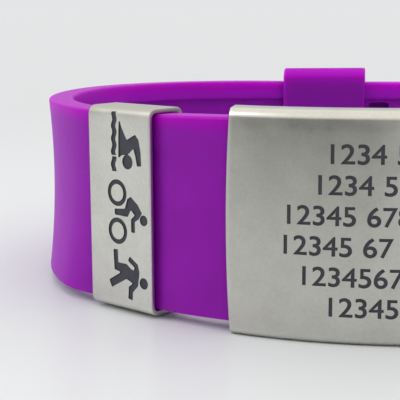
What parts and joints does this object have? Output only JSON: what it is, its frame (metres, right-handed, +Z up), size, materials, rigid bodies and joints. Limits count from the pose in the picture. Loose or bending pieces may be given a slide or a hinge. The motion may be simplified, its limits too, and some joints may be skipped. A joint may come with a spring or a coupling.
{
  "type": "id bracelet",
  "caption": "Silicone strap bracelet with a curved steel id plate folded round it, a flat steel slider with sports pictograms and a keeper loop over its two ends.",
  "frame": {"origin": "on the floor, under the middle of the bracelet's box", "axes": "+Z up across the strap's width, the id plate faces -Y, the keeper and the closure are at +Y, the slider is to the left of the plate at -X"},
  "size_m": [0.072, 0.0604, 0.0208],
  "materials": {
    "strap_silicone": "matt satin, slightly translucent",
    "keeper_silicone": "matt satin, slightly translucent",
    "plate_steel": "satin",
    "slider_steel": "satin",
    "closure_steel": "satin"
  },
  "bodies": {
    "root": {"strap": "strap_silicone", "keeper": "keeper_silicone", "id_plate": "plate_steel", "slider": "slider_steel", "closure_bar": "closure_steel"}
  },
  "joints": []
}
